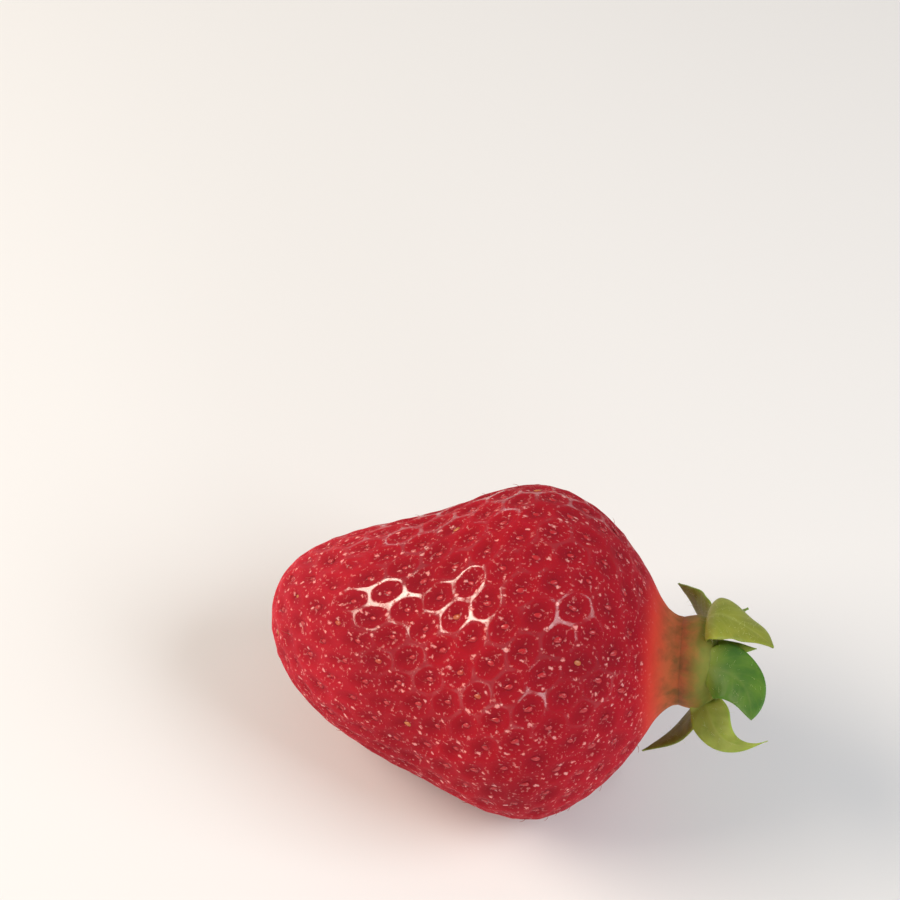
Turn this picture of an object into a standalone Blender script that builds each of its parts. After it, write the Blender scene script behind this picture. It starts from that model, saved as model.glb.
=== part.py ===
"""A ripe strawberry as picked, lying on its side on a table.

The red fruit carries its achenes, the seeds, one in each pit of its skin. Its neck ends in the calyx: a green
base, five sepals, five narrower bractlets behind them, and the stub of the snapped stalk.

Every mesh is modelled in the berry's own frame, in metres. Its origin is the centre of the neck's flat end, +X
points out of the fruit along the stalk, and the fruit runs towards -X. An empty lays the whole berry down, tip
low, and the skin is pressed flat where the table carries it.
"""

import math
from dataclasses import dataclass

import bmesh
import bpy
import numpy as np
from mathutils import Matrix, Vector
from mathutils.geometry import interpolate_bezier

MM = 0.001

# Fruit, in millimetres.
FRUIT_LENGTH = 46.5  # tip to the start of the neck
FRUIT_RADIUS = 19.2  # at its widest
NECK_RADIUS = 5.2
NECK_LENGTH = 2.7
TIP_SWAY = 3.0  # how far the tip bends to the back
TIP_SWAY_LENGTH = 24.0
BELLY = 1.8  # how much fuller the underside is, towards the tip
BELLY_CENTRE = 18.0  # from the tip
BELLY_SPREAD = 7.0
SHOULDER_RISE = 0.5  # how much fuller the shoulder is on top, next to the neck
SHOULDER_RISE_CENTRE = 41.0  # from the tip
SHOULDER_RISE_SPREAD = 3.0
LOBES = 0.012  # share of the radius by which the cross-section is out of round

# Achenes and their pits, in millimetres.
ACHENES = 400
TIP_CROWDING = 1.5  # how much closer than on the shoulder they stand at the tip
BARE_SHOULDER = 44.0  # from the tip; past here the skin has no achenes
PIT_DEPTH = 0.5
ACHENE_HEIGHT = 0.42
ACHENE_SHARE = 0.36  # of its cell's width

# Calyx, in millimetres.
GAP = 0.3  # between pieces that touch
BASE_THICKNESS = 0.9
BASE_RADIUS = 5.3
BLADE_THICKNESS = 0.6
BLADE_START = 1.9  # from the stalk's axis
STALK_RADIUS = 1.25
STALK_LENGTH = 3.2
SEPAL_LAYER = GAP + BASE_THICKNESS + GAP + BLADE_THICKNESS / 2
BRACTLET_LAYER = SEPAL_LAYER + BLADE_THICKNESS + 1.4 * GAP

# How the berry lies.
TILT = math.radians(12)  # tip down
PRESSED = 0.7  # millimetres of skin pressed flat
FILLED = 0.15  # pits this shallow there, in millimetres, are pressed shut


@dataclass
class Blade:
    """One sepal or bractlet, in millimetres and degrees."""

    azimuth: float  # round the stalk, from the top of the lying berry towards its front
    length: float
    width: float
    rise_at: float  # distance from the stalk's axis at which it leaves the base's flat face
    rise: float = 0  # how far it bends there, away from the fruit
    curl_from: float = 0.35  # share of its length from which it curls and sways
    curl: float = 0  # how far it bends away from the fruit
    sway: float = 0  # how far it bends sideways, to larger azimuths
    twist: float = 0  # how far it turns about its own rib
    twist_by: float = 0.6  # share of its length by which it has twisted
    cup: float = 0.15  # how far its edges fold away from the fruit, as a share of its half width
    taper: float = 1.1  # 1 for a full leaf, more for one that narrows sooner
    root: float = 0.24  # width at its root, as a share of its widest


SEPALS = {
    "sepal_1": Blade(-15, 12.7, 8.9, 6.3, rise=116, curl=-10, curl_from=0.39, sway=40, cup=0.1, taper=0.96),
    "sepal_2": Blade(48, 14.7, 6.5, 4.1, rise=54, curl_from=0.2, sway=66, twist=-33, cup=0.1, taper=0.8),
    "sepal_3": Blade(120, 13.5, 4.9, 4.0, rise=32, curl=-9, sway=86, twist=106, twist_by=0.35, cup=0.05, taper=2, root=0.36),
    "sepal_4": Blade(182, 18.0, 4.6, 5.7, rise=-20, curl=-30),
    "sepal_5": Blade(264, 12.5, 6.0, 5.7, rise=-20, curl=-20),
}
BRACTLETS = {
    "bractlet_1": Blade(17, 6.5, 2.4, 3.6, rise=80),
    "bractlet_2": Blade(84, 5.6, 2.4, 3.8, rise=62),
    "bractlet_3": Blade(162, 5.6, 2.2, 4.4, rise=0),
    "bractlet_4": Blade(223, 8.0, 2.8, 5.7, rise=5),
    "bractlet_5": Blade(301, 6.5, 2.8, 4.4, rise=60),
}


def clear_scene():
    for obj in list(bpy.data.objects):
        bpy.data.objects.remove(obj)


def material(name, color, roughness):
    """A Principled material. Nothing on a strawberry is metal."""
    made = bpy.data.materials.new(name)
    made.use_nodes = True
    shader = made.node_tree.nodes["Principled BSDF"]
    shader.inputs["Base Color"].default_value = (*color, 1)
    shader.inputs["Roughness"].default_value = roughness
    shader.inputs["Metallic"].default_value = 0
    return made


def add_object(name, mesh, finish, parent=None):
    obj = bpy.data.objects.new(name, mesh)
    obj.data.materials.append(finish)
    obj.parent = parent
    bpy.context.scene.collection.objects.link(obj)
    return obj


def fruit_outline():
    """Distance from the tip and radius along the fruit's side, from the tip to the neck, in millimetres.

    The tip is blunt, the side runs straight to a round shoulder, and the shoulder slopes down to the neck.
    """
    side, side_radius, side_slope = 18.2, 14.9, 0.32
    shoulder = 31.2
    knots = [
        ((0, 0), (0, 8.8)),
        ((side - 8.1, side_radius - 2.6), (side, side_radius)),
        ((side + 2.8, side_radius + 2.8 * side_slope), None),
        ((shoulder - 4.6, FRUIT_RADIUS), (shoulder, FRUIT_RADIUS)),
        ((shoulder + 5.8, FRUIT_RADIUS), None),
        ((FRUIT_LENGTH - 3.5, NECK_RADIUS + 7.7), (FRUIT_LENGTH, NECK_RADIUS)),
        ((FRUIT_LENGTH + 1.2, NECK_RADIUS - 2.0), None),
        ((FRUIT_LENGTH + 1.6, 2.0), (FRUIT_LENGTH + 1.6, 0)),
    ]
    points = []
    start, handle_out = knots[0]
    for (handle_in, end), after in zip(knots[1::2], knots[2::2] + [None]):
        stretch = interpolate_bezier(*(Vector((*p, 0)) for p in (start, handle_out, handle_in, end)), 60)
        points += [p.xy for p in stretch[:-1]]
        start = end
        handle_out = after[0] if after else None
    points.append(Vector(end))
    return np.array(points)


OUTLINE = fruit_outline()


def crowding_angles():
    """For each outline point, the polar angle on the unit sphere that has the same share of achenes behind it."""
    along, radius = OUTLINE.T
    steps = np.hypot(np.diff(along), np.diff(radius))
    crowding = 1 + (TIP_CROWDING - 1) * np.clip(1 - along / FRUIT_LENGTH, 0, 1)
    weight = radius * crowding
    share = np.concatenate([[0], np.cumsum((weight[1:] + weight[:-1]) / 2 * steps)])
    return np.arccos(1 - 2 * share / share[-1])


CROWDING_ANGLES = crowding_angles()


def fruit_points(directions):
    """Points of the smooth fruit for unit directions, of which -X is the tip and +X the neck, in millimetres."""
    polar = np.arccos(np.clip(-directions[:, 0], -1, 1))
    along = np.interp(polar, CROWDING_ANGLES, OUTLINE[:, 0])
    radius = np.interp(polar, CROWDING_ANGLES, OUTLINE[:, 1])
    around = directions[:, 1:] / np.maximum(np.linalg.norm(directions[:, 1:], axis=1, keepdims=True), 1e-9)
    angle = np.arctan2(around[:, 0], around[:, 1])
    side = np.clip(radius / FRUIT_RADIUS, 0, 1)
    radius = radius * (1 + LOBES * np.cos(3 * angle + 0.6) + LOBES * np.cos(2 * angle - 0.5))
    under = np.clip(-around[:, 1], 0, 1) ** 4
    radius += side * under * BELLY * np.exp(-(((along - BELLY_CENTRE) / BELLY_SPREAD) ** 2))
    over = np.clip(around[:, 1], 0, 1) ** 2
    radius += over * SHOULDER_RISE * np.exp(-(((along - SHOULDER_RISE_CENTRE) / SHOULDER_RISE_SPREAD) ** 2))
    sway = TIP_SWAY * np.clip(1 - along / TIP_SWAY_LENGTH, 0, 1) ** 2
    return np.column_stack(
        [along - FRUIT_LENGTH - NECK_LENGTH, radius * around[:, 0] + sway, radius * around[:, 1]]
    )


def fruit_normals(directions):
    """Outward unit normals of the smooth fruit at those directions."""
    reach = 1e-3
    least = np.eye(3)[np.argmin(np.abs(directions), axis=1)]
    first = np.cross(directions, least)
    first /= np.linalg.norm(first, axis=1, keepdims=True)
    second = np.cross(directions, first)
    centre = fruit_points(directions)
    along_first = fruit_points(unit(directions + reach * first)) - centre
    along_second = fruit_points(unit(directions + reach * second)) - centre
    return unit(np.cross(along_first, along_second))


def unit(vectors):
    return vectors / np.linalg.norm(vectors, axis=1, keepdims=True)


def skin(directions, lift):
    """Points lift millimetres outside the smooth fruit, in metres."""
    return (fruit_points(directions) + lift * fruit_normals(directions)) * MM


def sunflower_directions(count):
    """Unit directions in the order in which achenes form: a golden-angle spiral from the tip to the neck."""
    golden = math.pi * (3 - math.sqrt(5))
    order = np.arange(count)
    along = (2 * order + 1) / count - 1
    reach = np.sqrt(1 - along**2)
    return np.column_stack([along, reach * np.cos(order * golden), reach * np.sin(order * golden)])


def cells_around(directions):
    """(corner directions, one ring of corner indices for each direction): the cells that share out the sphere."""
    hull = bmesh.new()
    for direction in directions:
        hull.verts.new(direction)
    bmesh.ops.convex_hull(hull, input=list(hull.verts))
    hull.faces.index_update()
    hull.verts.index_update()
    corners = unit(np.array([face.calc_center_median() for face in hull.faces]))
    rings = [None] * len(directions)
    for vert in hull.verts:
        outward = vert.co.normalized()
        across = outward.orthogonal().normalized()
        up = outward.cross(across)
        spokes = [(Vector(corners[face.index]) - vert.co, face.index) for face in vert.link_faces]
        spokes.sort(key=lambda spoke: math.atan2(spoke[0].dot(up), spoke[0].dot(across)))
        rings[vert.index] = [index for _, index in spokes]
    hull.free()
    return corners, rings


def pitted_body():
    """The fruit without its neck: a cell for each achene, sunk to a pit with the achene standing in it."""
    directions = sunflower_directions(ACHENES)
    corners, rings = cells_around(directions)
    bare = fruit_points(directions)[:, 0] > BARE_SHOULDER - FRUIT_LENGTH - NECK_LENGTH
    points, lifts, faces = list(corners), [0.0] * len(corners), []
    for direction, ring, is_bare in zip(directions, rings, bare):
        if is_bare:
            faces.append(ring)
            continue
        foot = len(points)
        points += [direction + ACHENE_SHARE * (corners[index] - direction) for index in ring]
        lifts += [-PIT_DEPTH] * len(ring)
        top = len(points)
        points.append(direction)
        lifts.append(ACHENE_HEIGHT - PIT_DEPTH)
        for here, index in enumerate(ring):
            there = (here + 1) % len(ring)
            faces.append([index, ring[there], foot + there, foot + here])
            faces.append([foot + here, foot + there, top])
    mesh = bpy.data.meshes.new("fruit")
    mesh.from_pydata(skin(unit(np.array(points)), np.array(lifts)[:, None]), [], faces)
    return mesh


def turned(name, outline, steps=24):
    """A closed solid turned about the X axis from (x, radius) points in millimetres that start and end on it."""
    bm = bmesh.new()
    verts = [bm.verts.new((x * MM, 0, radius * MM)) for x, radius in outline]
    edges = [bm.edges.new(pair) for pair in zip(verts, verts[1:])]
    bmesh.ops.spin(bm, geom=verts + edges, axis=(1, 0, 0), cent=(0, 0, 0), angle=math.tau, steps=steps)
    bmesh.ops.remove_doubles(bm, verts=bm.verts, dist=1e-6)
    bmesh.ops.recalc_face_normals(bm, faces=bm.faces)
    mesh = bpy.data.meshes.new(name)
    bm.to_mesh(mesh)
    bm.free()
    return mesh


def neck_mesh():
    """The fruit's neck, flared where it is sunk into the shoulder."""
    collar = [Vector((x - FRUIT_LENGTH - NECK_LENGTH, radius + 0.12, 0)) for x, radius in OUTLINE[::8]]
    collar = [p for p in collar if BARE_SHOULDER < p.x + FRUIT_LENGTH + NECK_LENGTH < FRUIT_LENGTH - 1]
    waist = Vector((-NECK_LENGTH + 1.2, NECK_RADIUS, 0))
    bend = Vector((-NECK_LENGTH - 0.2, NECK_RADIUS + 0.5, 0))
    fillet = interpolate_bezier(collar[-1], bend, waist, waist, 6)
    side = [(p.x, p.y) for p in collar + fillet[1:]] + [(-0.2, NECK_RADIUS + 0.15), (0, NECK_RADIUS)]
    return turned("neck", [(side[0][0] - 0.5, 0), (side[0][0] - 0.5, side[0][1] - 0.8)] + side + [(0, 0)])


def calyx_base_mesh():
    """The green disc that closes the neck and carries the blades."""
    front, back = GAP, GAP + BASE_THICKNESS
    return turned(
        "calyx_base",
        [(front, 0), (front, BASE_RADIUS - 0.5), (front + 0.35, BASE_RADIUS), (back - 0.35, BASE_RADIUS)]
        + [(back, BASE_RADIUS - 0.5), (back, 0)],
    )


def stalk_mesh():
    """The stub that stays on the berry where the stalk snapped, a little wider at its root."""
    root = GAP + BASE_THICKNESS + GAP
    end = root + STALK_LENGTH
    return turned(
        "stalk_stub",
        [(root, 0), (root, STALK_RADIUS + 0.2), (root + 0.9, STALK_RADIUS)]
        + [(end - 0.3, STALK_RADIUS), (end, STALK_RADIUS - 0.35), (end - 0.2, 0)],
        steps=14,
    )


def blade_width(share, blade):
    """Half width of a blade, as a share of its widest, along its rib: slim at the root, pointed at the tip."""
    opening = math.sin(min(share / 0.42, 1) * math.pi / 2) ** 2.2
    closing = (1 - max(0.0, (share - 0.3) / 0.7) ** 1.8) ** blade.taper
    return (blade.root + (1 - blade.root) * opening) * closing


def blade_mesh(name, layer, blade):
    """One blade as an open sheet, marched along its rib from the stalk to the tip."""
    stations, half_columns = 14, 3
    around = math.radians(blade.azimuth)
    forward = Vector((0, -math.sin(around), math.cos(around)))
    normal = Vector((1, 0, 0))
    place = normal * layer + forward * BLADE_START
    flat = (blade.rise_at - BLADE_START) / blade.length
    step = blade.length / stations
    bm = bmesh.new()
    rows = []
    for station in range(stations):
        share = station / stations
        side = forward.cross(normal)
        half = blade.width / 2 * blade_width(share, blade)
        fold = blade.cup * half * min(share / flat, 1)
        across = [column / half_columns for column in range(-half_columns, half_columns + 1)]
        row = [place + side * (half * at) + normal * (fold * at**2) for at in across]
        rows.append([bm.verts.new(point * MM) for point in row])
        late = smooth_slope(share, blade.curl_from, 1)
        bend = blade.rise * smooth_slope(share, 0.6 * flat, 1.5 * flat) + blade.curl * late
        turn = Matrix.Rotation(math.radians(bend) / stations, 3, side)
        turn = turn @ Matrix.Rotation(math.radians(blade.sway) * late / stations, 3, normal)
        roll = math.radians(blade.twist) * smooth_slope(share, 0.1, blade.twist_by)
        turn = turn @ Matrix.Rotation(roll / stations, 3, forward)
        forward, normal = turn @ forward, turn @ normal
        place = place + forward * step
    tip = bm.verts.new(place * MM)
    for lower, upper in zip(rows, rows[1:]):
        for column in range(2 * half_columns):
            bm.faces.new((lower[column], lower[column + 1], upper[column + 1], upper[column]))
    for column in range(2 * half_columns):
        bm.faces.new((rows[-1][column], rows[-1][column + 1], tip))
    bmesh.ops.recalc_face_normals(bm, faces=bm.faces)
    mesh = bpy.data.meshes.new(name)
    bm.to_mesh(mesh)
    bm.free()
    return mesh


def smooth_slope(share, start, end):
    """The slope of a smooth step from start to end, which adds up to 1 over the whole length."""
    if not start < share < end:
        return 0.0
    inside = (share - start) / (end - start)
    return 6 * inside * (1 - inside) / (end - start)


def add_blade(name, layer, blade, finish, parent):
    obj = add_object(name, blade_mesh(name, layer, blade), finish, parent)
    solid = obj.modifiers.new("thickness", "SOLIDIFY")
    solid.thickness = BLADE_THICKNESS * MM
    solid.offset = 0
    return obj


def join_into(obj, other_mesh, finish):
    """Unites another closed mesh with the object's own, and applies the union."""
    other = add_object("joined", other_mesh, finish)
    union = obj.modifiers.new("union", "BOOLEAN")
    union.operation = "UNION"
    union.object = other
    graph = bpy.context.evaluated_depsgraph_get()
    mesh = bpy.data.meshes.new_from_object(obj.evaluated_get(graph))
    obj.modifiers.clear()
    obj.data = mesh
    bpy.data.objects.remove(other)


def world_corners(objects):
    """Lowest and highest corner of these objects in the world, modifiers included."""
    bpy.context.view_layer.update()
    graph = bpy.context.evaluated_depsgraph_get()
    points = []
    for obj in objects:
        shown = obj.evaluated_get(graph)
        mesh = shown.to_mesh()
        points += [shown.matrix_world @ vert.co for vert in mesh.vertices]
        shown.to_mesh_clear()
    points = np.array(points)
    return points.min(axis=0), points.max(axis=0)


def lay_down(berry, fruit, others):
    """Tilts the berry onto its side, presses the skin flat at the table, and centres it over the origin."""
    berry.rotation_euler = (0, -TILT, 0)
    low, _ = world_corners([fruit])
    berry.location.z = -low[2] - PRESSED * MM
    bpy.context.view_layer.update()
    lying = berry.matrix_world.copy()
    rising = lying.inverted()
    for vert in fruit.data.vertices:
        place = lying @ vert.co
        if place.z < FILLED * MM:
            vert.co = rising @ Vector((place.x, place.y, 0))
    low, high = world_corners([fruit, *others])
    berry.location.x -= (low[0] + high[0]) / 2
    berry.location.y -= (low[1] + high[1]) / 2


def build():
    clear_scene()
    flesh = material("ripe flesh", (0.52, 0.02, 0.03), 0.35)
    leaf = material("calyx green", (0.22, 0.30, 0.06), 0.6)
    bract = material("bractlet green", (0.26, 0.33, 0.08), 0.6)
    pale = material("pale stalk green", (0.45, 0.50, 0.18), 0.6)
    berry = bpy.data.objects.new("berry", None)
    bpy.context.scene.collection.objects.link(berry)

    fruit = add_object("fruit", pitted_body(), flesh)
    join_into(fruit, neck_mesh(), flesh)
    fruit.name = "fruit"
    fruit.parent = berry
    calyx = [
        add_object("calyx_base", calyx_base_mesh(), leaf, berry),
        add_object("stalk_stub", stalk_mesh(), pale, berry),
    ]
    calyx += [add_blade(name, SEPAL_LAYER, shape, leaf, berry) for name, shape in SEPALS.items()]
    calyx += [add_blade(name, BRACTLET_LAYER, shape, bract, berry) for name, shape in BRACTLETS.items()]
    lay_down(berry, fruit, calyx)
    for obj in calyx[:2]:
        obj.data.shade_smooth()
        obj.data.set_sharp_from_angle(angle=math.radians(40))


build()
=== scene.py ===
"""Looks of a ripe strawberry lying on its side.

The fruit's skin, the calyx and the stalk stub stand in for the plain solids of the frame, as finer pieces
of the same form. Shapes are worked out in millimetres in the berry's own frame, and meshes made in metres.
"""

import math
from dataclasses import dataclass

import bmesh
import bpy
import numpy as np
from mathutils import Matrix, Vector
from mathutils.geometry import interpolate_bezier


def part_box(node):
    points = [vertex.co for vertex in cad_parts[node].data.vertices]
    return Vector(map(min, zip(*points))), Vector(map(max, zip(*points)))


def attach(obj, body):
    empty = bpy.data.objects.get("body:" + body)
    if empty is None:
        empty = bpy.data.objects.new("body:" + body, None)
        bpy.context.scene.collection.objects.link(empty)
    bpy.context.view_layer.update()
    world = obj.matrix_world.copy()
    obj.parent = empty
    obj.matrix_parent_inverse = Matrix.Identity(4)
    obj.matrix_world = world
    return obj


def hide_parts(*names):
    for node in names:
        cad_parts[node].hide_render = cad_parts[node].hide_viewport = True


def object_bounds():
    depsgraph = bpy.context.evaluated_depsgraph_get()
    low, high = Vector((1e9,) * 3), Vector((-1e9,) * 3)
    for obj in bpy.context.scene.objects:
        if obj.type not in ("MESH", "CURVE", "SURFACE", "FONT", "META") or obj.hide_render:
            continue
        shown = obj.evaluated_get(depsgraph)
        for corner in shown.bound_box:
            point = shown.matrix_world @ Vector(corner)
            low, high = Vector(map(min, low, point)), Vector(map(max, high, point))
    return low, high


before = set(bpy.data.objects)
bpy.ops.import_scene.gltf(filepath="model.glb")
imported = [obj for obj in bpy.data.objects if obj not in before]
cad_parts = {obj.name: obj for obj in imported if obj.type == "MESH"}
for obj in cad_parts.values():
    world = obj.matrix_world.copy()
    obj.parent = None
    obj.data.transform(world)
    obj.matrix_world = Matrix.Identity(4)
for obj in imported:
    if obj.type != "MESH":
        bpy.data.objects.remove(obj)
cad_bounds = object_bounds()

MM = 0.001

# The berry's own sizes in millimetres, as in its solids.
FRUIT_LENGTH = 46.5  # tip to the start of the neck
FRUIT_RADIUS = 19.2
NECK_RADIUS = 5.2
NECK_LENGTH = 2.7
TIP_SWAY = 3.0  # how far the tip bends to the back
TIP_SWAY_LENGTH = 24.0
BELLY = 1.8  # how much fuller the underside is, towards the tip
BELLY_CENTRE = 18.0  # from the tip
BELLY_SPREAD = 7.0
SHOULDER_RISE = 0.5  # how much fuller the shoulder is on top, next to the neck
SHOULDER_RISE_CENTRE = 41.0
SHOULDER_RISE_SPREAD = 3.0
LOBES = 0.012  # share of the radius by which the cross-section is out of round
ACHENES = 400  # on the whole fruit, with those that its bare end leaves out
TIP_CROWDING = 1.5  # how much closer than on the shoulder they stand at the tip
BARE_SHOULDER = 44.0  # from the tip; past here the skin has no achenes
GAP = 0.3  # between pieces that touch
BASE_THICKNESS = 0.9
BLADE_START = 1.9  # from the stalk's axis
SEPAL_LAYER = 1.8  # how far out the sepals' middles lie
BRACTLET_LAYER = 2.82
TILT = math.radians(12)  # tip down

# Finer detail of the skin.
PIT_DEPTH = 0.48
RIDGE_STEPS = 5  # skin points along each ridge between two corners of a cell
PIT_RINGS = (0.08, 0.17, 0.28, 0.41, 0.57, 0.76)  # where rings of skin points stand, from ridge to achene
RIDGE_REACH = 1.2  # how far from a ridge's crest the skin has sunk most of the way
FAR_FROM_RIDGE = 9.0  # stands for the distance under an achene, farther than any ridge
BARE_PIT = 0.06  # depth of the dimples where no achene stands
UNEVENNESS = 0.07  # how far the skin slowly rises and falls; it is sunk as far, to stay in its solid

# Calyx blades.
BLADE_STATIONS = 60
BLADE_HALF_COLUMNS = 10
BLADE_THICKNESS = 0.42


@dataclass
class Blade:
    """One sepal or bractlet, in millimetres and degrees.

    It stands at an azimuth round the stalk, lies on the base up to rise_at, then rises. From the share
    curl_from of its length on it curls and sways to one side, and up to the share twist_by it twists. cup
    hollows it, a larger taper makes its tip slimmer, and root is the share of its width it starts with.
    """

    azimuth: float
    length: float
    width: float
    rise_at: float
    rise: float = 0
    curl_from: float = 0.35
    curl: float = 0
    sway: float = 0
    twist: float = 0
    twist_by: float = 0.6
    cup: float = 0.15
    taper: float = 1.1
    root: float = 0.24


# All are as in their solids, but sepal_2 is shorter and sepal_3 twists nearer its root.
SEPALS = {
    "sepal_1": Blade(-15, 12.7, 8.9, 6.3, rise=116, curl=-10, curl_from=0.39, sway=40, cup=0.1, taper=0.96),
    "sepal_2": Blade(48, 11.8, 6.7, 4.1, rise=74, curl_from=0.2, sway=76, twist=-33, cup=0.1, taper=0.8),
    "sepal_3": Blade(
        121, 13.4, 4.9, 4.0, 32, curl=-9, sway=86, twist=108, twist_by=0.25, cup=0.05, taper=2, root=0.5
    ),
    "sepal_4": Blade(182, 18.0, 4.6, 5.7, rise=-20, curl=-30),
    "sepal_5": Blade(264, 12.5, 6.0, 5.7, rise=-20, curl=-20),
}
BRACTLETS = {
    "bractlet_1": Blade(17, 6.5, 2.4, 3.6, rise=80),
    "bractlet_2": Blade(84, 5.6, 2.4, 3.8, rise=62),
    "bractlet_3": Blade(162, 5.6, 2.2, 4.4, rise=0),
    "bractlet_4": Blade(223, 8.0, 2.8, 5.7, rise=5),
    "bractlet_5": Blade(301, 6.5, 2.8, 4.4, rise=60),
}


def berry_matrix():
    """Where the berry's own frame lies: its origin is the middle of the neck's flat end, +X points out."""
    low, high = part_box("calyx_base")
    middle = (Vector(low) + Vector(high)) / 2
    base_middle = GAP + BASE_THICKNESS / 2
    turn = Matrix.Rotation(-TILT, 4, "Y")
    return Matrix.Translation(middle) @ turn @ Matrix.Translation((-base_middle * MM, 0, 0))


BERRY = berry_matrix()


# Small tools


def linear(hex_color):
    """An sRGB hex colour as the linear values that Blender's sockets take, with alpha."""
    channels = [int(hex_color[at : at + 2], 16) / 255 for at in (1, 3, 5)]
    return (*(c / 12.92 if c <= 0.04045 else ((c + 0.055) / 1.055) ** 2.4 for c in channels), 1)


def fill(tree, node, inputs):
    """Fills a node's inputs with values or with other nodes' outputs."""
    for socket, value in dict(inputs).items():
        if isinstance(value, bpy.types.NodeSocket):
            tree.links.new(value, node.inputs[socket])
        else:
            node.inputs[socket].default_value = value


def add_node(tree, kind, inputs=(), **settings):
    """Adds a node with its settings and its inputs."""
    made = tree.nodes.new(kind)
    for name, value in settings.items():
        setattr(made, name, value)
    fill(tree, made, inputs)
    return made


def new_material(name):
    """(material, its node tree, its shader)"""
    made = bpy.data.materials.new(name)
    made.use_nodes = True
    return made, made.node_tree, made.node_tree.nodes["Principled BSDF"]


def add_object(name, mesh, *finishes):
    obj = bpy.data.objects.new(name, mesh)
    for finish in finishes:
        obj.data.materials.append(finish)
    bpy.context.scene.collection.objects.link(obj)
    return obj


def unit(vectors):
    return vectors / np.linalg.norm(vectors, axis=1, keepdims=True)


def to_world(points_mm):
    """Points of the berry's own frame, in millimetres, as world points in metres."""
    matrix = np.array(BERRY)
    return np.asarray(points_mm) * MM @ matrix[:3, :3].T + matrix[:3, 3]


def turn_to_world(vectors):
    return np.asarray(vectors) @ np.array(BERRY)[:3, :3].T


def add_float_attribute(mesh, name, values):
    attribute = mesh.attributes.new(name, "FLOAT", "POINT")
    attribute.data.foreach_set("value", np.asarray(values, dtype=np.float32))


def add_vector_attribute(mesh, name, vectors):
    attribute = mesh.attributes.new(name, "FLOAT_VECTOR", "POINT")
    attribute.data.foreach_set("vector", vectors.ravel())


def smooth_step(values, start, end):
    share = np.clip((values - start) / (end - start), 0, 1)
    return share * share * (3 - 2 * share)


# The fruit's form


def fruit_outline():
    """Distance from the tip and radius along the fruit's side, up to the closed end in the neck."""
    side, side_radius, side_slope = 18.2, 14.9, 0.32
    shoulder = 31.2
    knots = [
        ((0, 0), (0, 8.8)),
        ((side - 8.1, side_radius - 2.6), (side, side_radius)),
        ((side + 2.8, side_radius + 2.8 * side_slope), None),
        ((shoulder - 4.6, FRUIT_RADIUS), (shoulder, FRUIT_RADIUS)),
        ((shoulder + 5.8, FRUIT_RADIUS), None),
        ((FRUIT_LENGTH - 3.5, NECK_RADIUS + 7.7), (FRUIT_LENGTH, NECK_RADIUS)),
        ((FRUIT_LENGTH + 1.2, NECK_RADIUS - 2.0), None),
        ((FRUIT_LENGTH + 1.6, 2.0), (FRUIT_LENGTH + 1.6, 0)),
    ]
    points = []
    start, handle_out = knots[0]
    for (handle_in, end), after in zip(knots[1::2], knots[2::2] + [None]):
        stretch = interpolate_bezier(*(Vector((*p, 0)) for p in (start, handle_out, handle_in, end)), 60)
        points += [p.xy for p in stretch[:-1]]
        start = end
        handle_out = after[0] if after else None
    points.append(Vector(end))
    return np.array(points)


def crowding_angles(outline):
    """For each outline point, the unit sphere's polar angle with the same share of achenes behind it."""
    along, radius = outline.T
    steps = np.hypot(np.diff(along), np.diff(radius))
    crowding = 1 + (TIP_CROWDING - 1) * np.clip(1 - along / FRUIT_LENGTH, 0, 1)
    weight = radius * crowding
    share = np.concatenate([[0], np.cumsum((weight[1:] + weight[:-1]) / 2 * steps)])
    return np.arccos(1 - 2 * share / share[-1])


def necked_outline(outline, angles):
    """The outline and its polar angles, with the waisted neck and its flat end for the closed end."""
    joint = FRUIT_LENGTH - 1.0
    body = outline[:, 0] < joint
    shoulder, shoulder_angle = outline[body][-1], angles[body][-1]
    neck_end = FRUIT_LENGTH + NECK_LENGTH
    waist = (neck_end - 1.2, NECK_RADIUS - 0.05)
    into = (shoulder[0] + 0.75, shoulder[1] - 1.3)
    points = (shoulder, into, (waist[0] - 0.7, waist[1]), waist)
    curve = [tuple(p.xy) for p in interpolate_bezier(*(Vector((*p, 0)) for p in points), 12)]
    curve += [(neck_end - 0.12, NECK_RADIUS - 0.25), (neck_end, NECK_RADIUS - 0.5), (neck_end, 0)]
    neck = np.array(curve[1:])
    steps = np.hypot(*np.diff(np.array(curve), axis=0).T)
    steps[-1] *= 0.35  # the flat end is hidden, so few skin points go there
    share = np.cumsum(steps) / steps.sum()
    neck_angles = shoulder_angle + share * (math.pi - shoulder_angle)
    return np.vstack([outline[body], neck]), np.concatenate([angles[body], neck_angles])


CLOSED_OUTLINE = fruit_outline()
OUTLINE, OUTLINE_ANGLES = necked_outline(CLOSED_OUTLINE, crowding_angles(CLOSED_OUTLINE))


def along_and_radius(directions):
    polar = np.arccos(np.clip(-directions[:, 0], -1, 1))
    return np.interp(polar, OUTLINE_ANGLES, OUTLINE[:, 0]), np.interp(polar, OUTLINE_ANGLES, OUTLINE[:, 1])


def lobes(angle):
    """How far the fruit's three and two soft lobes reach at an angle round its axis."""
    return np.cos(3 * angle + 0.6) + np.cos(2 * angle - 0.5)


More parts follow.
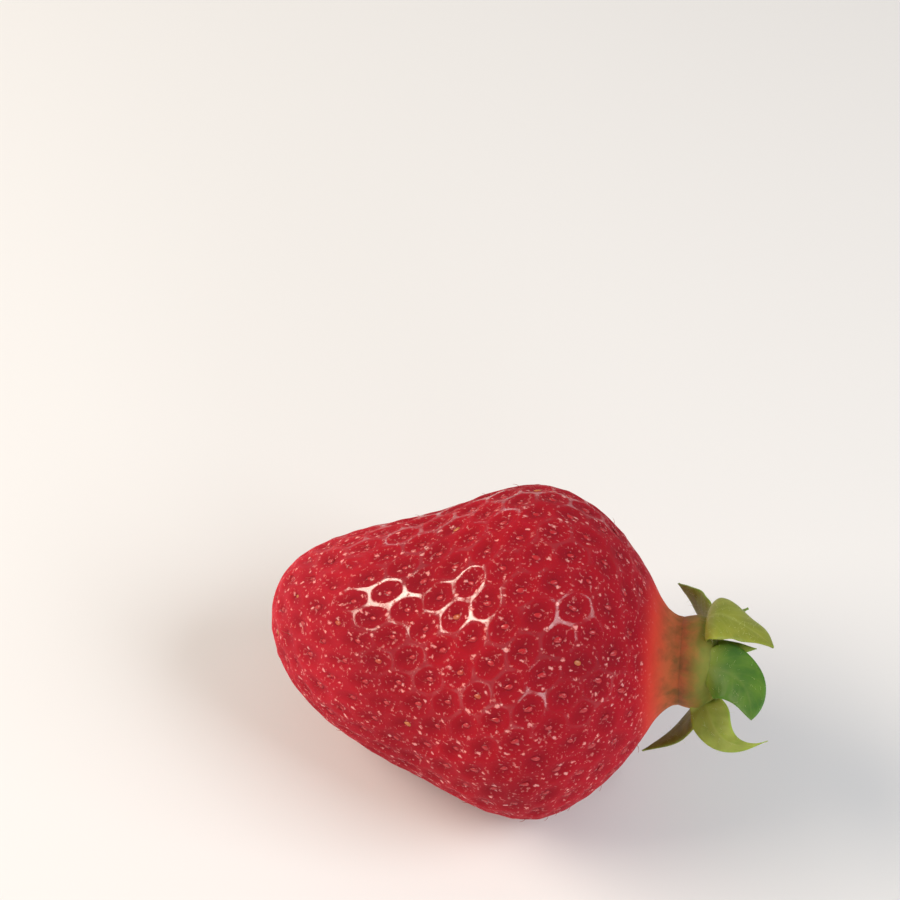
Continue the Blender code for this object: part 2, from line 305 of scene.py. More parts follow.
def fruit_points(directions):
    """Points of the smooth fruit for unit directions, of which -X is the tip and +X the neck."""
    along, radius = along_and_radius(directions)
    around = directions[:, 1:] / np.maximum(np.linalg.norm(directions[:, 1:], axis=1, keepdims=True), 1e-9)
    angle = np.arctan2(around[:, 0], around[:, 1])
    side = np.clip(radius / FRUIT_RADIUS, 0, 1)
    radius = radius * (1 + LOBES * lobes(angle))
    under = np.clip(-around[:, 1], 0, 1) ** 4
    radius += side * under * BELLY * np.exp(-(((along - BELLY_CENTRE) / BELLY_SPREAD) ** 2))
    over = np.clip(around[:, 1], 0, 1) ** 2
    from_rise = (along - SHOULDER_RISE_CENTRE) / SHOULDER_RISE_SPREAD
    radius += over * SHOULDER_RISE * np.exp(-(from_rise**2))
    sway = TIP_SWAY * np.clip(1 - along / TIP_SWAY_LENGTH, 0, 1) ** 2
    return np.column_stack(
        [along - FRUIT_LENGTH - NECK_LENGTH, radius * around[:, 0] + sway, radius * around[:, 1]]
    )


def fruit_normals(directions):
    """Outward unit normals of the smooth fruit at those directions."""
    reach = 3e-3
    least = np.eye(3)[np.argmin(np.abs(directions), axis=1)]
    first = unit(np.cross(directions, least))
    second = np.cross(directions, first)
    slopes = [
        fruit_points(unit(directions + reach * way)) - fruit_points(unit(directions - reach * way))
        for way in (first, second)
    ]
    return unit(np.cross(*slopes))


def sunflower_directions(count):
    """Unit directions in the order in which achenes form: a golden-angle spiral from tip to neck."""
    golden = math.pi * (3 - math.sqrt(5))
    order = np.arange(count)
    along = (2 * order + 1) / count - 1
    reach = np.sqrt(1 - along**2)
    return np.column_stack([along, reach * np.cos(order * golden), reach * np.sin(order * golden)])


def cells_around(directions):
    """(corner directions, each direction's ring of corner indices): the cells that share out the sphere."""
    hull = bmesh.new()
    for direction in directions:
        hull.verts.new(direction)
    bmesh.ops.convex_hull(hull, input=list(hull.verts))
    hull.faces.index_update()
    hull.verts.index_update()
    corners = unit(np.array([face.calc_center_median() for face in hull.faces]))
    rings = [None] * len(directions)
    for vert in hull.verts:
        outward = vert.co.normalized()
        across = outward.orthogonal().normalized()
        up = outward.cross(across)
        spokes = [(Vector(corners[face.index]) - vert.co, face.index) for face in vert.link_faces]
        spokes.sort(key=lambda spoke: math.atan2(spoke[0].dot(up), spoke[0].dot(across)))
        rings[vert.index] = [index for _, index in spokes]
    hull.free()
    return corners, rings


# The fruit's skin: ridges between cells, and a pit in each


def border_of(ring, corners, places, points):
    """Indices of the skin points round a cell. A shared ridge's points are made once, by its first cell."""
    border = []
    for here, there in zip(ring, ring[1:] + ring[:1]):
        key = (min(here, there), max(here, there))
        if key not in places:
            places[key] = len(points)
            shares = np.arange(1, RIDGE_STEPS)[:, None] / RIDGE_STEPS
            points.extend(unit(corners[key[0]] * (1 - shares) + corners[key[1]] * shares))
        between = list(range(places[key], places[key] + RIDGE_STEPS - 1))
        border += [here] + (between if here < there else between[::-1])
    return border


def ridge_distance(points, ring_points):
    """Distance from each point to the nearest ridge of its cell, rounded in the corners."""
    softness = 4.5  # per millimetre
    total = 0
    for start, end in zip(ring_points, np.roll(ring_points, -1, axis=0)):
        edge = end - start
        distance = np.linalg.norm(np.cross(points - start, edge), axis=1) / np.linalg.norm(edge)
        total = total + np.exp(-softness * distance)
    return np.maximum(-np.log(total) / softness, 0)


def skin_piece(directions, corners, rings, pit_depths, finish):
    """The skin: rings of points from each cell's ridges down to its achene, laid on the fruit and sunk."""
    points, places = list(corners), {}
    faces, depths, ridges = [], {}, {}
    for direction, ring, pit in zip(directions, rings, pit_depths):
        border = border_of(ring, corners, places, points)
        around = np.array([points[index] for index in border]) - direction
        reach = np.linalg.norm(around, axis=1, keepdims=True)
        mean_reach = reach.mean()
        ring_points = fruit_points(corners[ring])
        outer = border
        for share in PIT_RINGS:
            roundness = smooth_step(share, 0.0, 0.6)
            inner_reach = (1 - share) * (reach * (1 - roundness) + mean_reach * roundness)
            inner_points = unit(direction + around / reach * inner_reach)
            first = len(points)
            distance = ridge_distance(fruit_points(inner_points), ring_points)
            sunk = 1 - np.exp(-((distance / RIDGE_REACH) ** 2))
            points.extend(inner_points)
            for at, (how_deep, how_far) in enumerate(zip(sunk * pit, distance)):
                depths[first + at] = how_deep
                ridges[first + at] = how_far
            inner = list(range(first, first + len(border)))
            for here in range(len(border)):
                there = (here + 1) % len(border)
                faces.append((outer[here], outer[there], inner[there], inner[here]))
            outer = inner
        middle = len(points)
        points.append(direction)
        depths[middle], ridges[middle] = pit, FAR_FROM_RIDGE
        faces += [(outer[here], outer[(here + 1) % len(outer)], middle) for here in range(len(outer))]
    skin = unit(np.array(points))
    depth = np.array([depths.get(index, 0.0) for index in range(len(points))])
    distance = np.array([ridges.get(index, 0.0) for index in range(len(points))])
    waves = np.sin(31 * skin[:, 0] + 2) * np.sin(27 * skin[:, 1] + 1) * np.sin(29 * skin[:, 2])
    along, _ = along_and_radius(skin)
    unevenness = UNEVENNESS * waves * smooth_step(FRUIT_LENGTH - along, 0, 4)
    place = to_world(fruit_points(skin) + (unevenness - depth - UNEVENNESS)[:, None] * fruit_normals(skin))
    place[:, 2] = np.maximum(place[:, 2], 0)  # pressed flat where it lies
    mesh = bpy.data.meshes.new("fruit_skin")
    mesh.from_pydata(place, [], faces)
    add_float_attribute(mesh, "from_ridge", distance)
    add_float_attribute(mesh, "along", along / FRUIT_LENGTH)
    mesh.shade_smooth()
    return add_object("fruit_skin", mesh, finish)


# Achenes and the dry styles on them


def pit_depths_for(directions, bare, rng):
    """Depth of each cell's pit: deep on the side, shallow on the shoulder, each a little different."""
    along, _ = along_and_radius(directions)
    depths = PIT_DEPTH * (1 - 0.35 * smooth_step(along, 26, 42)) * rng.uniform(0.85, 1.15, len(directions))
    return np.where(bare, BARE_PIT, depths)


def seat_mesh(directions, pit_depths):
    """One point for each achene, at the bottom of its pit, with the axes that the achene stands along."""
    normals = fruit_normals(directions)
    toward_tip = fruit_points(unit(directions - np.array([0.02, 0, 0]))) - fruit_points(directions)
    seats = to_world(fruit_points(directions) - (pit_depths + 0.02)[:, None] * normals)
    mesh = bpy.data.meshes.new("seats")
    mesh.from_pydata(seats, [], [])
    add_vector_attribute(mesh, "upright", turn_to_world(normals))
    add_vector_attribute(mesh, "toward_tip", turn_to_world(unit(toward_tip)))
    return mesh


def new_geometry_tree(name, sizes, whole_numbers=()):
    """(tree, its input node): a node group that takes a mesh and named sizes, and gives a mesh."""
    tree = bpy.data.node_groups.new(name, "GeometryNodeTree")
    tree.interface.new_socket("Geometry", in_out="OUTPUT", socket_type="NodeSocketGeometry")
    tree.interface.new_socket("Geometry", in_out="INPUT", socket_type="NodeSocketGeometry")
    for size in sizes:
        tree.interface.new_socket(size, in_out="INPUT", socket_type="NodeSocketFloat")
    for number in whole_numbers:
        tree.interface.new_socket(number, in_out="INPUT", socket_type="NodeSocketInt")
    return tree, add_node(tree, "NodeGroupInput")


def end_geometry_tree(tree, instances, finish):
    """Realizes the instances, gives them their material and ends the tree."""
    real = add_node(tree, "GeometryNodeRealizeInstances", {"Geometry": instances})
    smooth = add_node(tree, "GeometryNodeSetShadeSmooth", {"Geometry": real.outputs[0]})
    painted = add_node(tree, "GeometryNodeSetMaterial", {"Geometry": smooth.outputs[0], "Material": finish})
    add_node(tree, "NodeGroupOutput", {0: painted.outputs[0]})


def grown(name, mesh, tree, values, finish):
    """The tree's result on that mesh, as a plain object."""
    holder = add_object("grown_on", mesh)
    modifier = holder.modifiers.new("grow", "NODES")
    modifier.node_group = tree
    for item in tree.interface.items_tree:
        if item.in_out == "INPUT" and item.name in values:
            modifier[item.identifier] = values[item.name]
    graph = bpy.context.evaluated_depsgraph_get()
    result = bpy.data.meshes.new_from_object(holder.evaluated_get(graph))
    holder.modifiers.clear()
    bpy.data.objects.remove(holder)
    made = bpy.data.objects.new(name, result)
    if not result.materials:
        result.materials.append(finish)
    bpy.context.scene.collection.objects.link(made)
    return made


def achene_tree(finish):
    """A teardrop achene on each point, its point towards the fruit's tip."""
    sizes = ["Length", "Width", "Height"]
    tree, given = new_geometry_tree("achenes", sizes + ["Size Variation"], ["Seed"])
    full_size = add_node(
        tree, "ShaderNodeCombineXYZ", {at: given.outputs[size] for at, size in enumerate(sizes)}
    )
    ball = add_node(tree, "GeometryNodeMeshUVSphere", {"Segments": 10, "Rings": 6, "Radius": 1.0})
    place = add_node(tree, "GeometryNodeInputPosition").outputs[0]
    x = add_node(tree, "ShaderNodeSeparateXYZ", {0: place}).outputs[0]
    taper = add_node(tree, "ShaderNodeMath", {0: x, 1: -0.32, 2: 0.9}, operation="MULTIPLY_ADD").outputs[0]
    slimming = add_node(tree, "ShaderNodeCombineXYZ", {0: 1.0, 1: taper, 2: taper})
    half_size = add_node(
        tree,
        "ShaderNodeVectorMath",
        {0: full_size.outputs[0], 1: (0.5, 0.5, 1.0)},
        operation="MULTIPLY",
    )
    slim = add_node(
        tree, "ShaderNodeVectorMath", {0: place, 1: slimming.outputs[0]}, operation="MULTIPLY"
    )
    moved = add_node(
        tree, "ShaderNodeVectorMath", {0: slim.outputs[0], 1: half_size.outputs[0]}, operation="MULTIPLY"
    )
    drop = add_node(
        tree, "GeometryNodeSetPosition", {"Geometry": ball.outputs["Mesh"], "Position": moved.outputs[0]}
    )
    placed = scattered(tree, given, drop.outputs[0])
    end_geometry_tree(tree, placed, finish)
    return tree


def scattered(tree, given, shape, chance=1.0, salt=0):
    """Instances of the shape on the tree's points, along the points' own axes, each a little different."""
    upright, forward = (
        add_node(tree, "GeometryNodeInputNamedAttribute", {"Name": name}, data_type="FLOAT_VECTOR")
        for name in ("upright", "toward_tip")
    )
    axes = add_node(
        tree,
        "FunctionNodeAxesToRotation",
        {"Primary Axis": upright.outputs[0], "Secondary Axis": forward.outputs[0]},
        primary_axis="Z",
        secondary_axis="X",
    )
    mixed_seed = add_node(tree, "ShaderNodeMath", {0: given.outputs["Seed"], 1: salt}, operation="ADD")
    lean = add_node(
        tree,
        "FunctionNodeRandomValue",
        {0: (-0.12, -0.12, -0.35), 1: (0.12, 0.12, 0.35), "Seed": mixed_seed.outputs[0]},
        data_type="FLOAT_VECTOR",
    )
    leaning = add_node(tree, "FunctionNodeEulerToRotation", {0: lean.outputs[0]})
    stand = add_node(
        tree,
        "FunctionNodeRotateRotation",
        {0: axes.outputs[0], 1: leaning.outputs[0]},
        rotation_space="LOCAL",
    )
    variation = given.outputs["Size Variation"]
    least = add_node(tree, "ShaderNodeMath", {0: 1.0, 1: variation}, operation="SUBTRACT")
    most = add_node(tree, "ShaderNodeMath", {0: 1.0, 1: variation}, operation="ADD")
    size = add_node(
        tree,
        "FunctionNodeRandomValue",
        {2: least.outputs[0], 3: most.outputs[0], "Seed": mixed_seed.outputs[0]},
    )
    kept = add_node(
        tree,
        "FunctionNodeRandomValue",
        {"Probability": chance, "Seed": mixed_seed.outputs[0]},
        data_type="BOOLEAN",
    )
    copies = add_node(
        tree,
        "GeometryNodeInstanceOnPoints",
        {
            "Points": given.outputs["Geometry"],
            "Selection": kept.outputs[3],
            "Instance": shape,
            "Rotation": stand.outputs[0],
            "Scale": size.outputs[1],
        },
    )
    tone = add_node(tree, "FunctionNodeRandomValue", {2: 0.0, 3: 1.0, "Seed": 7})
    toned = add_node(
        tree,
        "GeometryNodeStoreNamedAttribute",
        {"Geometry": copies.outputs[0], "Name": "tone", "Value": tone.outputs[1]},
        domain="INSTANCE",
    )
    return toned.outputs[0]


def tapered_hair(tree, given, bend, end, thinning, resolution, sides):
    """A hair along a curve from the origin, which gets thinner towards its end."""
    line = add_node(
        tree,
        "GeometryNodeCurveQuadraticBezier",
        {"Resolution": resolution, "Start": (0, 0, 0), "Middle": bend.outputs[0], "End": end.outputs[0]},
    )
    factor = add_node(tree, "GeometryNodeSplineParameter").outputs[0]
    slim = add_node(tree, "ShaderNodeMath", {0: factor, 1: -thinning, 2: 1.0}, operation="MULTIPLY_ADD")
    thin = add_node(
        tree, "GeometryNodeSetCurveRadius", {"Curve": line.outputs[0], "Radius": slim.outputs[0]}
    )
    profile = add_node(
        tree,
        "GeometryNodeCurvePrimitiveCircle",
        {"Resolution": sides, "Radius": given.outputs["Thickness"]},
    )
    hair = add_node(
        tree,
        "GeometryNodeCurveToMesh",
        {
            "Curve": thin.outputs[0],
            "Profile Curve": profile.outputs[0],
            "Scale": slim.outputs[0],
            "Fill Caps": True,
        },
    )
    return hair.outputs[0]


def style_tree(finish):
    """A dry style on some of the achenes: a bent hair, thinner towards its end."""
    tree, given = new_geometry_tree("styles", ["Length", "Thickness", "Size Variation"], ["Seed"])
    middle = add_node(tree, "ShaderNodeCombineXYZ", {0: 0.0, 2: given.outputs["Length"]})
    bend = add_node(tree, "ShaderNodeVectorMath", {0: middle.outputs[0], 3: 0.55}, operation="SCALE")
    end_x = add_node(tree, "ShaderNodeMath", {0: given.outputs["Length"], 1: 0.7}, operation="MULTIPLY")
    end = add_node(tree, "ShaderNodeCombineXYZ", {0: end_x.outputs[0], 2: end_x.outputs[0]})
    hair = tapered_hair(tree, given, bend, end, thinning=0.7, resolution=5, sides=4)
    placed = scattered(tree, given, hair, chance=0.3, salt=5)
    end_geometry_tree(tree, placed, finish)
    return tree


# Calyx


def smooth_slope(share, start, end):
    """The slope of a smooth step from start to end, which adds up to 1 over the whole length."""
    if not start < share < end:
        return 0.0
    inside = (share - start) / (end - start)
    return 6 * inside * (1 - inside) / (end - start)


def blade_width(share, blade):
    """Half width along a blade's rib, as a share of its widest: slim at the root, pointed at the tip."""
    opening = math.sin(min(share / 0.42, 1) * math.pi / 2) ** 2.2
    closing = (1 - max(0.0, (share - 0.3) / 0.7) ** 1.8) ** blade.taper
    return (blade.root + (1 - blade.root) * opening) * closing


def blade_frames(blade, layer):
    """(share of the length, share of the cup, place, side, normal) at each station along the rib."""
    around = math.radians(blade.azimuth)
    forward = Vector((0, -math.sin(around), math.cos(around)))
    normal = Vector((1, 0, 0))
    place = normal * layer + forward * BLADE_START
    flat = (blade.rise_at - BLADE_START) / blade.length
    step = blade.length / BLADE_STATIONS
    for station in range(BLADE_STATIONS + 1):
        share = station / BLADE_STATIONS
        side = forward.cross(normal)
        yield share, min(share / flat, 1), place, side, normal
        late = smooth_slope(share, blade.curl_from, 1)
        bend = blade.rise * smooth_slope(share, 0.6 * flat, 1.5 * flat) + blade.curl * late
        turn = Matrix.Rotation(math.radians(bend) / BLADE_STATIONS, 3, side)
        turn = turn @ Matrix.Rotation(math.radians(blade.sway) * late / BLADE_STATIONS, 3, normal)
        roll = math.radians(blade.twist) * smooth_slope(share, 0.1, blade.twist_by)
        turn = turn @ Matrix.Rotation(roll / BLADE_STATIONS, 3, forward)
        forward, normal = turn @ forward, turn @ normal
        place = place + forward * step


def blade_faces(wide, count):
    """Faces of a closed leaf: its front and back rows of points, its two edges and its two ends."""
    faces = []
    for station in range(BLADE_STATIONS):
        row, after = station * wide, (station + 1) * wide
        for column in range(wide - 1):
            quad = (row + column, row + column + 1, after + column + 1, after + column)
            faces.append(quad)
            faces.append(tuple(index + count for index in reversed(quad)))
        for column, turn in ((0, 1), (wide - 1, -1)):
            strip = (row + column, after + column, after + column + count, row + column + count)
            faces.append(strip[::turn])
    for row, turn in ((0, -1), (BLADE_STATIONS * wide, 1)):
        for column in range(wide - 1):
            strip = (row + column, row + column + 1, row + column + 1 + count, row + column + count)
            faces.append(strip[::turn])
    return faces


def blade_piece(name, layer, blade, finish, rng):
    """One blade as a closed leaf: thin at its edge, with a raised rib and side veins, and a wavy edge."""
    columns = np.arange(-BLADE_HALF_COLUMNS, BLADE_HALF_COLUMNS + 1) / BLADE_HALF_COLUMNS
    wave_phase, wave_count = rng.uniform(0, math.tau), rng.uniform(2.2, 3.4)
    fronts, backs, coordinates = [], [], []
    for share, grown_share, place, side, normal in blade_frames(blade, layer):
        half = max(blade.width / 2 * blade_width(share, blade), 0.02)
        fold = blade.cup * half * grown_share
        loose = smooth_step(share, 0.25, 0.7)
        for across in columns:
            edge = abs(across)
            wave_turn = math.tau * wave_count * share + wave_phase + 2 * (across > 0)
            wave = 0.05 * half * loose * edge**2 * math.sin(wave_turn)
            vein_turn = math.tau * (share * 9 - edge * half / blade.length * 7)
            vein = 0.035 * math.cos(vein_turn) * (1 - edge) * edge * 4
            rib = 0.16 * math.exp(-((across * half / 0.35) ** 2)) * (1 - 0.7 * share)
            middle = place + side * (across * half) + normal * (fold * across**2 + wave)
            thick = BLADE_THICKNESS * (0.22 + 0.78 * math.sqrt(max(0.0, 1 - edge**4))) * (1 - 0.45 * share)
            fronts.append(middle + normal * (thick / 2 + rib + vein * 0.6))
            backs.append(middle - normal * (thick / 2 - 0.4 * rib + vein * 0.4))
            coordinates.append((across / 2 + 0.5, share))
    mesh = bpy.data.meshes.new(name)
    mesh.from_pydata(to_world(fronts + backs), [], blade_faces(len(columns), len(fronts)))
    layer_map = mesh.uv_layers.new(name="blade")
    both = np.array(coordinates + coordinates, dtype=np.float32)
    loops = np.empty(len(mesh.loops), dtype=np.int32)
    mesh.loops.foreach_get("vertex_index", loops)
    layer_map.data.foreach_set("uv", both[loops].ravel())
    outward_normals(mesh)
    mesh.shade_smooth()
    return add_object(name, mesh, finish)


def outward_normals(mesh):
    bm = bmesh.new()
    bm.from_mesh(mesh)
    bmesh.ops.recalc_face_normals(bm, faces=bm.faces)
    bm.to_mesh(mesh)
    bm.free()


def turned_piece(name, outline, finish, ripple, steps=72):
    """A closed solid turned about the berry's axis from (x, radius) points that start and end on it.

    ripple is how far it swells at the lobes that it shares with the fruit. The attribute out is how far out
    along the axis a point lies, in millimetres.
    """
    bm = bmesh.new()
    verts = [bm.verts.new((x * MM, 0, radius * MM)) for x, radius in outline]
    edges = [bm.edges.new(pair) for pair in zip(verts, verts[1:])]
    bmesh.ops.spin(bm, geom=verts + edges, axis=(1, 0, 0), cent=(0, 0, 0), angle=math.tau, steps=steps)
    bmesh.ops.remove_doubles(bm, verts=bm.verts, dist=1e-7)
    for vert in bm.verts:
        swell = 1 + ripple * lobes(math.atan2(vert.co.y, vert.co.z))
        vert.co.y *= swell
        vert.co.z *= swell
    bmesh.ops.recalc_face_normals(bm, faces=bm.faces)
    mesh = bpy.data.meshes.new(name)
    bm.to_mesh(mesh)
    bm.free()
    add_float_attribute(mesh, "out", [vert.co.x / MM for vert in mesh.vertices])
    mesh.transform(BERRY)
    mesh.shade_smooth()
    return add_object(name, mesh, finish)


def smooth_profile(points, resolution=8):
    """A smooth outline through a few (x, radius) points, by Catmull-Rom tangents."""
    ends = [points[0]] + points + [points[-1]]
    smooth = []
    for before, start, end, after in zip(ends, ends[1:], ends[2:], ends[3:]):
        first = ((end[0] - before[0]) / 6, (end[1] - before[1]) / 6)
        last = ((after[0] - start[0]) / 6, (after[1] - start[1]) / 6)
        leaving = (start[0] + first[0], start[1] + first[1])
        arriving = (end[0] - last[0], end[1] - last[1])
        handles = (Vector((*p, 0)) for p in (start, leaving, arriving, end))
        stretch = interpolate_bezier(*handles, resolution)
        smooth += [(p.x, max(p.y, 0)) for p in stretch[:-1]]
    return smooth + [points[-1]]


def hair_tree(finish):
    """Silky hairs, bent and thin, scattered over the leaf they grow on."""
    sizes = ["Length", "Thickness", "Density", "Size Variation"]
    tree, given = new_geometry_tree("hairs", sizes, ["Seed"])
    leaf, density, seed = (given.outputs[name] for name in ("Geometry", "Density", "Seed"))
    points = add_node(
        tree, "GeometryNodeDistributePointsOnFaces", {"Mesh": leaf, "Density": density, "Seed": seed}
    )
    middle = add_node(tree, "ShaderNodeCombineXYZ", {2: given.outputs["Length"]})
    bend = add_node(tree, "ShaderNodeVectorMath", {0: middle.outputs[0], 3: 0.5}, operation="SCALE")
    reach = add_node(tree, "ShaderNodeMath", {0: given.outputs["Length"], 1: 0.45}, operation="MULTIPLY")
    end = add_node(tree, "ShaderNodeCombineXYZ", {0: reach.outputs[0], 2: given.outputs["Length"]})
    hair = tapered_hair(tree, given, bend, end, thinning=0.8, resolution=3, sides=3)
    lean = add_node(
        tree,
        "FunctionNodeRandomValue",
        {0: (-0.7, -0.7, -math.pi), 1: (0.7, 0.7, math.pi), "Seed": seed},
        data_type="FLOAT_VECTOR",
    )
    leaning = add_node(tree, "FunctionNodeEulerToRotation", {0: lean.outputs[0]})
    stand = add_node(
        tree,
        "FunctionNodeRotateRotation",
        {0: points.outputs["Rotation"], 1: leaning.outputs[0]},
        rotation_space="LOCAL",
    )
    variation = given.outputs["Size Variation"]
    least = add_node(tree, "ShaderNodeMath", {0: 1.0, 1: variation}, operation="SUBTRACT")
    size = add_node(tree, "FunctionNodeRandomValue", {2: least.outputs[0], 3: 1.0, "Seed": seed})
    copies = add_node(
        tree,
        "GeometryNodeInstanceOnPoints",
        {
            "Points": points.outputs["Points"],
            "Instance": hair,
            "Rotation": stand.outputs[0],
            "Scale": size.outputs[1],
        },
    )
    end_geometry_tree(tree, copies.outputs[0], finish)
    return tree


# Materials. A pattern's scale is the number of its cells in a metre, with the size that gives beside it.

BLOTCHES = 110  # darker red, 9 mm across
FILM_PATCHES = 230  # places where the waxy film is whole, 4 mm across
GLINT_AND_BUMP_DOTS = 880  # pale dots of painted glints, also raised as small glossy bumps, 1.1 mm apart
GLINT_GRAIN = 2400  # the finest painted glints, pale flecks 0.4 mm apart
NECK_BLOTCHES = 550  # 1.8 mm across
BASE_PATCHES = 700  # 1.4 mm across
STALK_FIBRES = 700  # 1.4 mm across
LEAF_PATCHES = 420  # 2.4 mm across
LEAF_VEINS = 56.0  # radians of side veins in a leaf's length, so 9 on each side


def painted(tree, color, *coats):
    """A colour with others laid over it in turn. A coat is (how much of it shows, its colour)."""
    for share, over in coats:
        mix = add_node(tree, "ShaderNodeMix", {0: share, 6: color, 7: over}, data_type="RGBA")
        color = mix.outputs[2]
    return color


def light_sinks_in(shader, share, reach, depth):
    """Lets a share of the light sink into a tissue. reach is how many depths its red, green and blue go."""
    shader.inputs["Subsurface Weight"].default_value = share
    shader.inputs["Subsurface Radius"].default_value = reach
    shader.inputs["Subsurface Scale"].default_value = depth


def neck_brown(tree, place):
    """The mottled brown where the neck's skin meets the calyx base, the same on both."""
    blotches = add_node(
        tree, "ShaderNodeTexNoise", {"Vector": place, "Scale": NECK_BLOTCHES, "Detail": 4, "Roughness": 0.6}
    )
    patchy = add_node(
        tree, "ShaderNodeMapRange", {"Value": blotches.outputs[0], 1: 0.38, 2: 0.62, 3: 0, 4: 1}
    )
    return painted(tree, linear("#B46038"), (patchy.outputs[0], linear("#80562E")))


def skin_red_with_pit_shade(tree, along, from_ridge, place):
    """The red of the flesh, lighter at the tip and blotched, with painted shade that darkens it down in the
    pits.
    """
    from_tip = add_node(
        tree,
        "ShaderNodeMapRange",
        {"Value": along, 1: 0.02, 2: 0.45, 3: 0, 4: 1},
        interpolation_type="SMOOTHSTEP",
    )
    blotches = add_node(tree, "ShaderNodeTexNoise", {"Vector": place, "Scale": BLOTCHES, "Detail": 3})
    deeper = add_node(
        tree, "ShaderNodeMapRange", {"Value": blotches.outputs[0], 1: 0.42, 2: 0.68, 3: 0, 4: 0.6}
    )
    # Painted shade: the red darkens down in each pit, away from its ridges.
    painted_pit_shade = add_node(tree, "ShaderNodeMapRange", {"Value": from_ridge, 1: 0.3, 2: 1.8, 3: 0, 4: 0.5})
    return painted(
        tree,
        linear("#B41C2E"),
        (from_tip.outputs[0], linear("#A6081E")),
        (deeper.outputs[0], linear("#86041A")),
        (painted_pit_shade.outputs[0], linear("#760418")),
    )


def painted_glint_specks(tree, place):
    """(all the painted glints, the larger alone): pale flecks, and ragged dots drawn out along the berry.
    """
    glint_noise = add_node(tree, "ShaderNodeTexNoise", {"Vector": place, "Scale": GLINT_GRAIN, "Detail": 2})
    painted_glint_fleck = add_node(tree, "ShaderNodeMapRange", {"Value": glint_noise.outputs[0], 1: 0.6, 2: 0.74, 3: 0, 4: 0.4})
    ragged = add_node(
        tree,
        "ShaderNodeVectorMath",
        {0: glint_noise.outputs["Color"], 1: (0.7 * MM, 0.7 * MM, 0.7 * MM), 2: place},
        operation="MULTIPLY_ADD",
    )
    drawn_out = add_node(
        tree, "ShaderNodeVectorMath", {0: ragged.outputs[0], 1: (0.62, 1.0, 1.0)}, operation="MULTIPLY"
    )
    dots = add_node(
        tree, "ShaderNodeTexVoronoi", {"Vector": drawn_out.outputs[0], "Scale": GLINT_AND_BUMP_DOTS}, feature="F1"
    )
    # The dots are painted glints in the colour; in ripe_skin they are also raised bumps with some gloss.
    dot = add_node(
        tree,
        "ShaderNodeMapRange",
        {"Value": dots.outputs["Distance"], 1: 0.22, 2: 0.08, 3: 0, 4: 0.75},
        interpolation_type="SMOOTHSTEP",
    )
    painted_glint = add_node(tree, "ShaderNodeMath", {0: painted_glint_fleck.outputs[0], 1: dot.outputs[0]}, operation="MAXIMUM")
    return painted_glint.outputs[0], dot.outputs[0]


def turned_brown(tree, along, place, color):
    """The skin's colour, with a painted orange rim highlight round the shoulder, turned brown on the neck.
    """
    rim_highlight, neck = (0.94, 0.985), (0.96, 1.025)
    # The orange round the shoulder is a painted rim highlight; the neck's brown is the skin's own colour.
    for (start, end), new_color in ((rim_highlight, linear("#D0302A")), (neck, neck_brown(tree, place))):
        turned = add_node(
            tree,
            "ShaderNodeMapRange",
            {"Value": along, 1: start, 2: end, 3: 0, 4: 1},
            interpolation_type="SMOOTHSTEP",
        )
        color = painted(tree, color, (turned.outputs[0], new_color))
    return color


def film_gloss(tree, along, from_ridge, place, dot):
    """Where the waxy film is glossy: on the upper side's crests where it is whole, a little on the dots."""
    height = add_node(tree, "ShaderNodeSeparateXYZ", {0: place}).outputs[2]
    film = add_node(
        tree, "ShaderNodeTexNoise", {"Vector": place, "Scale": FILM_PATCHES, "Detail": 5, "Roughness": 0.65}
    ).outputs[0]
    masks = (
        (from_ridge, 0.3, 0.08, 0, 1, "SMOOTHSTEP"),  # the crests
        (height, 21 * MM, 30 * MM, 0.04, 1, "SMOOTHSTEP"),  # the upper side
        (along, 0.85, 0.65, 0.35, 1, "SMOOTHSTEP"),  # duller on the shoulder
        (film, 0.44, 0.54, 0.05, 1, "LINEAR"),  # where the film is whole
        (along, 0.96, 0.9, 0, 1, "LINEAR"),  # not on the neck
    )
    glossy_crest = 1.0
    for *mask, ramp in masks:
        shown = add_node(tree, "ShaderNodeMapRange", enumerate(mask), interpolation_type=ramp).outputs[0]
        both = add_node(tree, "ShaderNodeMath", {0: glossy_crest, 1: shown}, operation="MULTIPLY")
        glossy_crest = both.outputs[0]
    off_crest = add_node(tree, "ShaderNodeMapRange", {"Value": from_ridge, 1: 0.2, 2: 0.4, 3: 0, 4: 0.35})
    glossy_dot = add_node(tree, "ShaderNodeMath", {0: dot, 1: off_crest.outputs[0]}, operation="MULTIPLY")
    gloss = add_node(
        tree, "ShaderNodeMath", {0: glossy_crest, 1: glossy_dot.outputs[0]}, operation="MAXIMUM"
    )
    return gloss.outputs[0]


